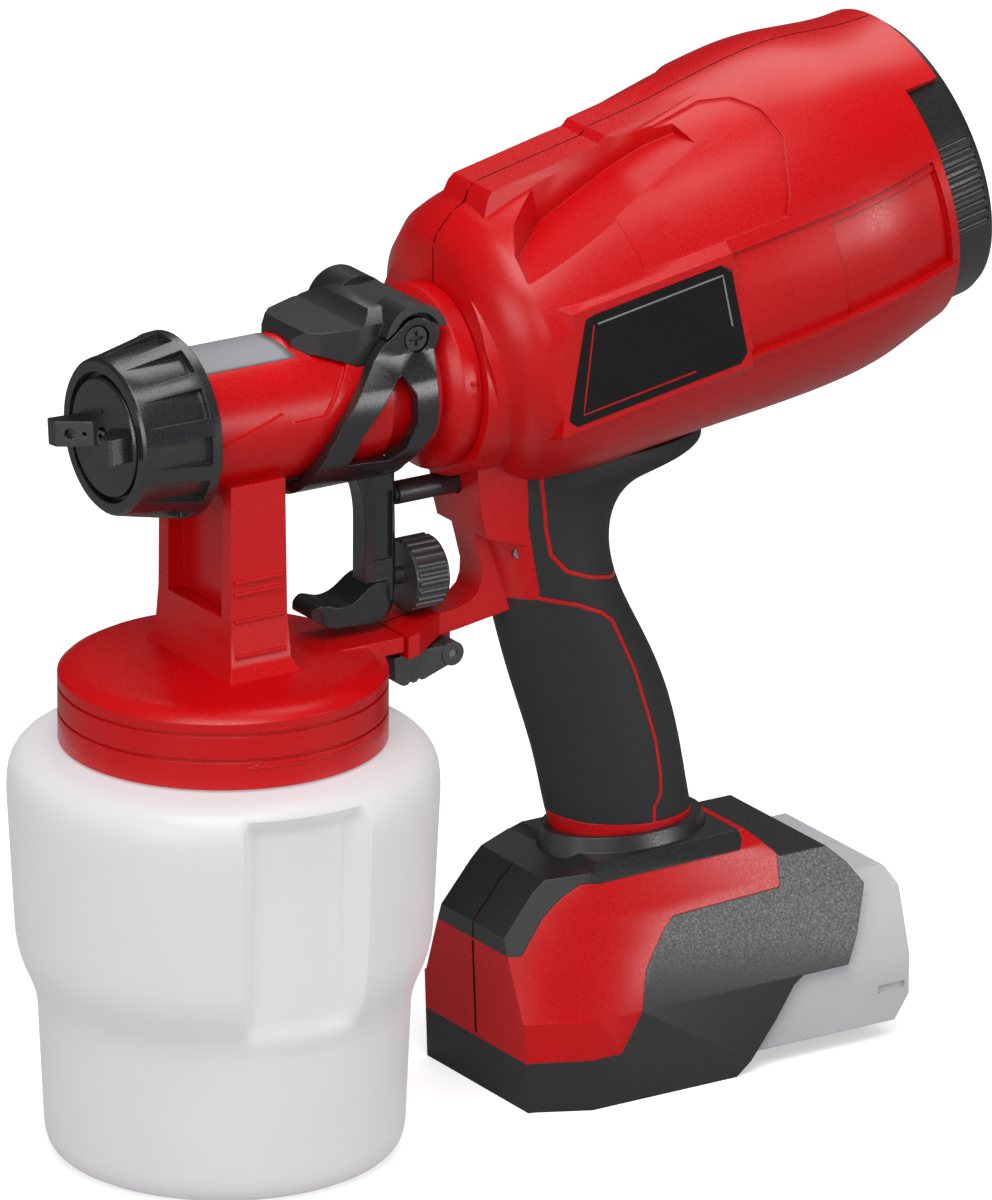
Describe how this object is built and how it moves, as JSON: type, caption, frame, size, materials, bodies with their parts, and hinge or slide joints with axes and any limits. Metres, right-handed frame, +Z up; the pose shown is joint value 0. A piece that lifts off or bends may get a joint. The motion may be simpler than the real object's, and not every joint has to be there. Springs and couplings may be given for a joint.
{
  "type": "cordless paint sprayer",
  "caption": "Hand-held cordless paint sprayer with a turbine housing, pistol grip with guard, twist-off spray head, screw-on paint cup and slide-in battery.",
  "frame": {"origin": "centre of the cup's foot, on the surface that the sprayer stands on", "axes": "+Z up, the nozzle points to -X, the motor end to +X, the middle plane is y = 0"},
  "size_m": [0.304, 0.1231, 0.3036],
  "materials": {
    "red_plastic": "fine satin texture",
    "black_plastic": "satin",
    "trigger_black": "semi-gloss",
    "label_black": "gloss film, bare",
    "grip_rubber": "matt, soft to the touch",
    "cup_plastic": "milky, lets light through",
    "battery_grey": "satin",
    "board": "lacquered board",
    "steel": "turned",
    "aluminium": "turned",
    "filter_felt": "pleated felt",
    "packing_white": "smooth"
  },
  "bodies": {
    "handle": {"housing_left": "red_plastic", "housing_right": "red_plastic", "label_plates": "label_black", "grip_pad_top": "grip_rubber", "grip_pad_back": "grip_rubber", "grip_pad_front": "grip_rubber", "dock_cover": "black_plastic", "dock_base": "black_plastic", "control_board": "board", "terminal_block": "black_plastic", "motor_can": "steel", "fan_shroud": "black_plastic", "air_filter": "filter_felt", "switch_body": "black_plastic", "housing_screws": "steel", "latch_pin": "steel"},
    "rotor": {"turbine_rotor": "aluminium"},
    "filter_cover": {"rear_cover": "black_plastic"},
    "switch_rod": {"plunger": "black_plastic"},
    "latch_lever": {"latch": "black_plastic"},
    "battery": {"battery_case": "battery_grey"},
    "release_button": {"battery_button": "battery_grey"},
    "spray_head": {"head_body": "red_plastic", "trigger_saddle": "black_plastic", "head_seal": "grip_rubber", "cup_gasket": "grip_rubber", "fluid_nozzle": "steel", "needle_packing": "packing_white", "pivot_screws": "steel"},
    "trigger_lever": {"trigger": "trigger_black"},
    "flow_control": {"flow_knob": "black_plastic"},
    "needle_unit": {"needle": "steel", "needle_spring": "steel"},
    "cap": {"air_cap": "black_plastic"},
    "nut": {"union_nut": "black_plastic"},
    "paint_cup": {"cup": "cup_plastic"},
    "pickup_tube": {"suction_tube": "packing_white"}
  },
  "joints": [
    {"name": "head_twist", "type": "hinge", "parent": "handle", "child": "spray_head", "pos_m": [0.07, 0, 0.221], "axis": [1, 0, 0], "range_deg": [0, 45]},
    {"name": "trigger_pull", "type": "hinge", "parent": "spray_head", "child": "trigger_lever", "pos_m": [0.0515, 0, 0.2403], "axis": [0, -1, 0], "range_deg": [0, 6.5], "stiffness_Nm_per_rad": 3, "springref_deg": -5.73},
    {"name": "needle_slide", "type": "slide", "parent": "spray_head", "child": "needle_unit", "axis": [1, 0, 0], "range_m": [0, 0.0026]},
    {"name": "switch_slide", "type": "slide", "parent": "handle", "child": "switch_rod", "axis": [1, 0, 0], "range_m": [0, 0.0061]},
    {"name": "flow_turn", "type": "hinge", "parent": "trigger_lever", "child": "flow_control", "pos_m": [0.0645, 0, 0.1618], "axis": [1, 0, 0], "range_deg": [-180, 180]},
    {"name": "cap_turn", "type": "hinge", "parent": "spray_head", "child": "cap", "pos_m": [-0.037, 0, 0.221], "axis": [1, 0, 0], "range_deg": [-90, 90]},
    {"name": "nut_turn", "type": "hinge", "parent": "spray_head", "child": "nut", "pos_m": [-0.027, 0, 0.221], "axis": [1, 0, 0], "range_deg": [0, 270]},
    {"name": "cup_turn", "type": "hinge", "parent": "spray_head", "child": "paint_cup", "pos_m": [0, 0, 0.13], "axis": [0, 0, 1], "range_deg": [0, 90]},
    {"name": "tube_turn", "type": "hinge", "parent": "spray_head", "child": "pickup_tube", "pos_m": [0, 0, 0.138], "axis": [0, 0, 1], "range_deg": [-180, 180]},
    {"name": "cover_turn", "type": "hinge", "parent": "handle", "child": "filter_cover", "pos_m": [0.22009, 0, 0.25671], "axis": [0.9763, 0, 0.2164], "range_deg": [0, 30]},
    {"name": "rotor_spin", "type": "hinge", "parent": "handle", "child": "rotor", "pos_m": [0.10781, 0, 0.23182], "axis": [0.9763, 0, 0.2164], "continuous": true},
    {"name": "battery_slide", "type": "slide", "parent": "handle", "child": "battery", "axis": [1, 0, 0], "range_m": [0, 0.105]},
    {"name": "button_push", "type": "slide", "parent": "battery", "child": "release_button", "axis": [-1, 0, 0], "range_m": [0, 0.0022], "stiffness_N_per_m": 800, "springref_m": -0.002},
    {"name": "latch_turn", "type": "hinge", "parent": "handle", "child": "latch_lever", "pos_m": [0.0713, 0, 0.1386], "axis": [0, -1, 0], "range_deg": [0, 40]}
  ],
  "couplings": [
    {"joint": "needle_slide", "follows": "trigger_pull", "m_per_rad": 0.022},
    {"joint": "switch_slide", "follows": "trigger_pull", "m_per_rad": 0.0528}
  ]
}
